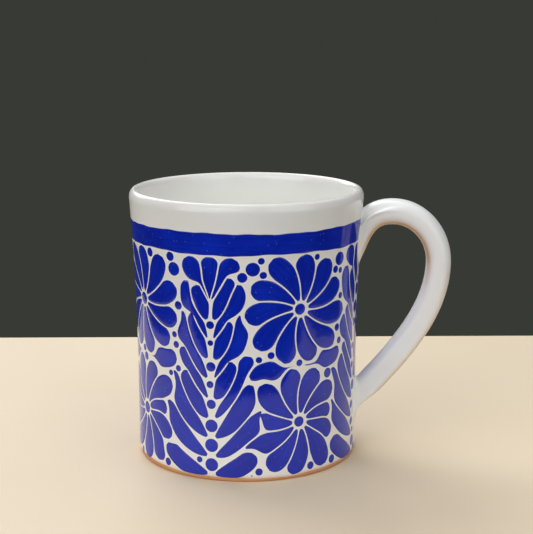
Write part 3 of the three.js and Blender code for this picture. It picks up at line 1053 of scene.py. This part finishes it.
leaves[:, LENGTH] *= 1 + hand.normal(0, LENGTH_STRAY, len(leaves))
leaves[:, CURL] += hand.normal(0, CURL_STRAY, len(leaves))
t = np.linspace(0, 1, LEAF_STEPS)
spines = leaf_spines(leaves, t)[0]
root_room = root_gap(from_handle(spines[..., 0]), spines[..., 1]).min(axis=1)
leaves = leaves[root_room > -ROOT_OVERLAP]
left, right = brushed(*grown_leaves(leaves, t))
dots = dots_between(left, right)

# A dot is a stroke one diameter long whose two outlines are half circles.
dot_turn = np.pi * t
dot_run = np.stack([-np.cos(dot_turn), np.sin(dot_turn)], axis=-1) * dots[:, None, 2:]
left = np.concatenate([left, dots[:, None, :2] + dot_run])
right = np.concatenate([right, dots[:, None, :2] + dot_run * [1, -1]])

# Across a stroke: up one side, over a low crown and down the other side, closed under the glaze. Both ends
# taper to a point that lies under the glaze.
reach = np.array([-1, -1, -0.86, -0.5, 0, 0.5, 0.86, 1, 1])
lift = np.array([0, 0, 0.75, 1, 1, 1, 0.75, 0, 0]) * PAINT_RISE
sunk = np.array([1, 0, 0, 0, 0, 0, 0, 0, 1]) * PAINT_DEPTH
middle, half = (left + right) / 2, (left - right) / 2
flat = middle[:, :, None] + half[:, :, None] * reach[:, None]
half_width = np.linalg.norm(half, axis=2)[..., None]
stroke_angle, stroke_z = FIRST_STEM + flat[..., 0] / GIRTH * TURN, flat[..., 1]
stroke_rise = lift * np.clip(half_width / CROWN_WIDTH, LEAST_CROWN, 1) - sunk
points = around(paint_radius(stroke_angle, stroke_z, stroke_rise), stroke_angle, stroke_z)
tips = points[:, [0, -1], len(reach) // 2] * [TIP_SINK, TIP_SINK, 1]
all_points = np.concatenate([points[:, 1:-1].reshape(-1, 3), tips.reshape(-1, 3)])

# Each stroke's rings are joined one to the next, and its first and last ring to its two tips.
count, rows, per_ring = len(points), LEAF_STEPS - 2, len(reach)
grid = np.arange(count * rows * per_ring).reshape(count, rows, per_ring)
ahead = np.roll(grid, -1, axis=2)
quads = np.stack([grid[:, :-1], grid[:, 1:], ahead[:, 1:], ahead[:, :-1]], axis=-1).reshape(-1, 4)
tip_index = grid.size + np.arange(count * 2).reshape(count, 2)
first = np.broadcast_to(tip_index[:, :1], (count, per_ring))
last = np.broadcast_to(tip_index[:, 1:], (count, per_ring))
first_fan = np.stack([first, grid[:, 0], ahead[:, 0]], axis=-1).reshape(-1, 3)
last_fan = np.stack([last, ahead[:, -1], grid[:, -1]], axis=-1).reshape(-1, 3)
faces = quads.tolist() + first_fan.tolist() + last_fan.tolist()
foliage = mesh_piece("cobalt_leaves_and_dots", all_points, faces)
flat_sides(foliage, np.tile(hidden_sides(per_ring), count * (rows + 1)))

# The brush's streaks run along each stroke, and start at another place on each.
run = np.linalg.norm(np.diff(middle, axis=1), axis=2).cumsum(axis=1)[:, :-1, None]
run = run + STREAK_SHIFT * np.arange(count)[:, None, None] + 0 * reach
off_middle = (half_width * reach)[:, 1:-1]
to_side = (half_width * (1 - np.abs(reach)))[:, 1:-1]
stroke_values = np.stack([run, off_middle, to_side], axis=-1).reshape(-1, 3)
set_attribute(foliage, "stroke", np.concatenate([stroke_values, np.zeros((count * 2, 3))]))
foliage.data.materials.append(cobalt)
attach(foliage, "root")


# Stage
# A plain pale bench top under the mug, a large soft light overhead, soft fills from the front, from both
# sides of it and from behind, and the camera at the photograph's angle.

HANDLE_TURN = np.radians(5)
BENCH_FRONT = -136.0
BENCH_BACK = 159.0
BENCH_HALF_WIDTH = 205.0
BENCH_THICKNESS = 12.0
BENCH_CLOUD = 120.0
BENCH_COLOURS = ("#dbc7a9", "#e3d2b6")
LIGHT_AIM = (0.0, 0.0, 0.05)
DAYLIGHT = "#f8faff"
BACKDROP = "#373a35"

corners = np.array(
    [
        [-BENCH_HALF_WIDTH, BENCH_FRONT],
        [BENCH_HALF_WIDTH, BENCH_FRONT],
        [BENCH_HALF_WIDTH, BENCH_BACK],
        [-BENCH_HALF_WIDTH, BENCH_BACK],
    ]
)
cosine, sine = np.cos(HANDLE_TURN), np.sin(HANDLE_TURN)
outline = corners @ np.array([[cosine, sine], [-sine, cosine]])
top = np.column_stack([outline, np.zeros(len(corners))])
bottom = np.column_stack([outline, np.full(len(corners), -BENCH_THICKNESS)])
sides = [[0, 4, 5, 1], [1, 5, 6, 2], [2, 6, 7, 3], [3, 7, 4, 0]]
bench = mesh_piece("bench_top", np.concatenate([top, bottom]), [[0, 1, 2, 3], [7, 6, 5, 4], *sides])
bench.data.shade_flat()

# Matt paint on board: pale and dull, faintly clouded.
paint, tree, shader = material("pale_matt_paint")
place = add(tree, "ShaderNodeTexCoord").outputs["Object"]
cloud = add(tree, "ShaderNodeTexNoise", {"Vector": place, "Scale": per_mm(BENCH_CLOUD), "Detail": 3.0})
pale = add(
    tree,
    "ShaderNodeMix",
    {FACTOR: cloud.outputs[0], FIRST: linear(BENCH_COLOURS[0]), SECOND: linear(BENCH_COLOURS[1])},
    data_type="RGBA",
)
tree.links.new(pale.outputs[MIXED], shader.inputs["Base Color"])
shader.inputs["Roughness"].default_value = 0.7
bench.data.materials.append(paint)


def soft_light(name, size, place, power):
    """Square area light at a place in metres, turned towards the mug."""
    lamp = bpy.data.lights.new(name, "AREA")
    lamp.shape = "SQUARE"
    lamp.size = size
    lamp.energy = power
    lamp.color = linear(DAYLIGHT)[:3]
    piece = bpy.data.objects.new(name, lamp)
    piece.location = place
    x, y, z = np.array(LIGHT_AIM) - np.array(place)
    piece.rotation_euler = (np.arctan2(np.hypot(x, y), -z), 0, np.arctan2(-x, y))
    bpy.context.collection.objects.link(piece)


soft_light("overhead_light", size=3.0, place=(0.0, 0.2, 1.5), power=28)
soft_light("left_fill", size=1.2, place=(-1.0, -1.1, 0.55), power=10.5)
soft_light("front_fill", size=1.0, place=(-0.25, -1.5, 0.9), power=5)
soft_light("right_fill", size=1.2, place=(1.1, -0.9, 0.55), power=7)
soft_light("back_fill", size=1.4, place=(-0.7, 1.1, 1.1), power=19)

world = bpy.data.worlds.new("dim_studio")
world.use_nodes = True
world.node_tree.nodes["Background"].inputs["Color"].default_value = linear(BACKDROP)
bpy.context.scene.world = world

CAMERA_DISTANCE = 477.4
CAMERA_HEIGHT = 166.1
CAMERA_PITCH = np.radians(11.65)
CAMERA_YAW = np.radians(0.86)
FOCAL_PIXELS = 1340.7
PICTURE_SIDE = 534
SENSOR = 36.0
CLIP_START = 10.0
lens = bpy.data.cameras.new("photo_camera")
lens.sensor_width = SENSOR
lens.lens = FOCAL_PIXELS * SENSOR / PICTURE_SIDE
lens.clip_start = CLIP_START * MILLIMETRE
camera = bpy.data.objects.new("photo_camera", lens)
camera.location = (
    CAMERA_DISTANCE * MILLIMETRE * np.sin(HANDLE_TURN),
    -CAMERA_DISTANCE * MILLIMETRE * np.cos(HANDLE_TURN),
    CAMERA_HEIGHT * MILLIMETRE,
)
camera.rotation_euler = (np.pi / 2 - CAMERA_PITCH, 0, HANDLE_TURN - CAMERA_YAW)
bpy.context.collection.objects.link(camera)
bpy.context.scene.camera = camera
bpy.context.scene.view_settings.view_transform = "Standard"
